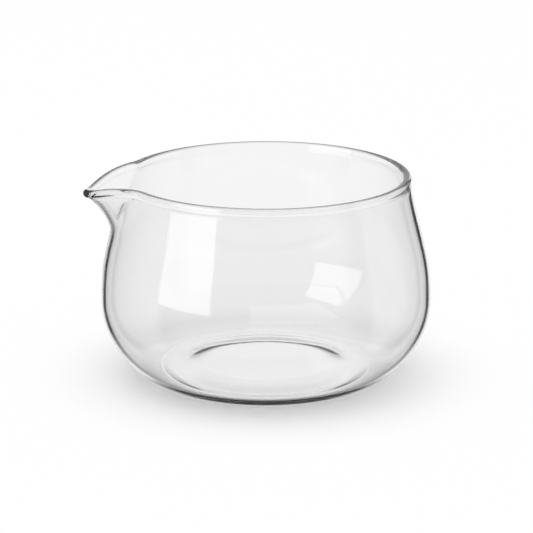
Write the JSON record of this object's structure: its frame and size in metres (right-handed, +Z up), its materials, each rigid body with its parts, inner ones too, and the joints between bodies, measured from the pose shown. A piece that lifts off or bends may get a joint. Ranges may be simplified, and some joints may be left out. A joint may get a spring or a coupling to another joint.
{
  "type": "spouted bowl",
  "caption": "Round clear glass bowl with a drawn-in wall, a beaded rim, a pulled pouring spout and a foot ring, for whisking and pouring tea.",
  "frame": {"origin": "middle of the bowl's footprint box, on the plane that its foot ring stands on", "axes": "+Z up out of the mouth; -X along the spout; +Y to the right of someone who looks along the spout from behind"},
  "size_m": [0.1256, 0.12, 0.0744],
  "materials": {
    "clear_glass": "clear, polished, colourless"
  },
  "bodies": {
    "root": {"glass_bowl": "clear_glass"}
  },
  "joints": []
}
